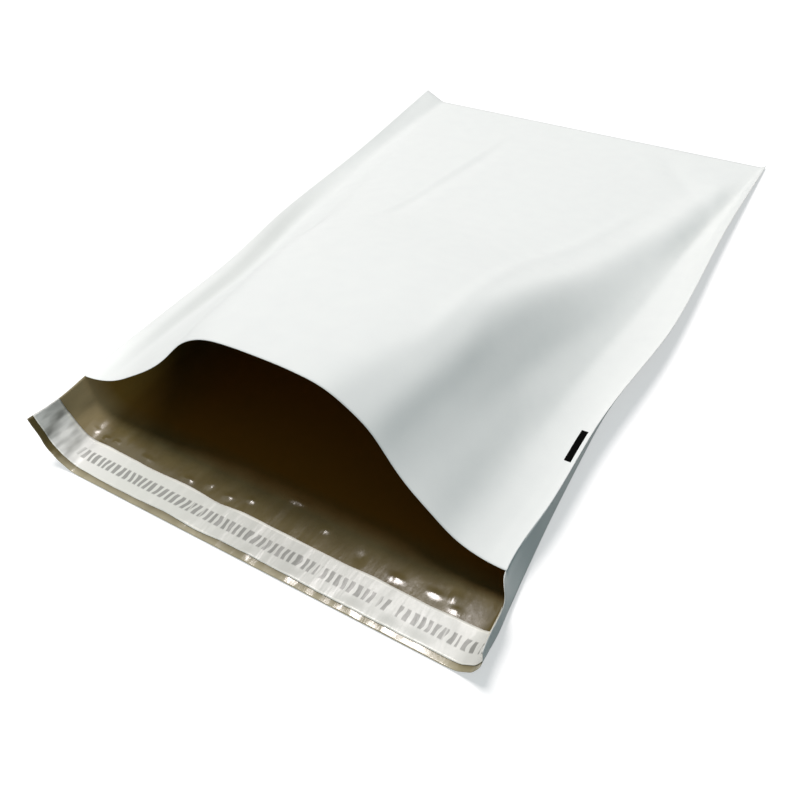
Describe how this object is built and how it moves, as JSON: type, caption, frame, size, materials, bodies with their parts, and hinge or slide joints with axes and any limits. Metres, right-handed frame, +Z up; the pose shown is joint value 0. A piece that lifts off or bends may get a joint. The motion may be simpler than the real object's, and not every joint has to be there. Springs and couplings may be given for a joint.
{
  "type": "poly mailer bag",
  "caption": "Empty white film courier bag lying on its back with the mouth propped open, dark inside, with a peel-and-seal strip on the flap.",
  "frame": {"origin": "middle of the flat film outline, on the surface that the bag lies on", "axes": "+X across the bag to the right weld, +Y from the flap towards the closed end, +Z up out of the surface"},
  "size_m": [0.2479, 0.395, 0.0716],
  "materials": {
    "film": "satin white co-extruded polyethylene film, dark brown inside",
    "adhesive": "tacky amber hot-melt glue",
    "liner": "glossy silicone-coated release film",
    "ink": "black flexo ink"
  },
  "bodies": {
    "root": {"film_bag": "film", "adhesive_strip": "adhesive", "release_liner": "liner", "eye_mark": "ink"}
  },
  "joints": []
}
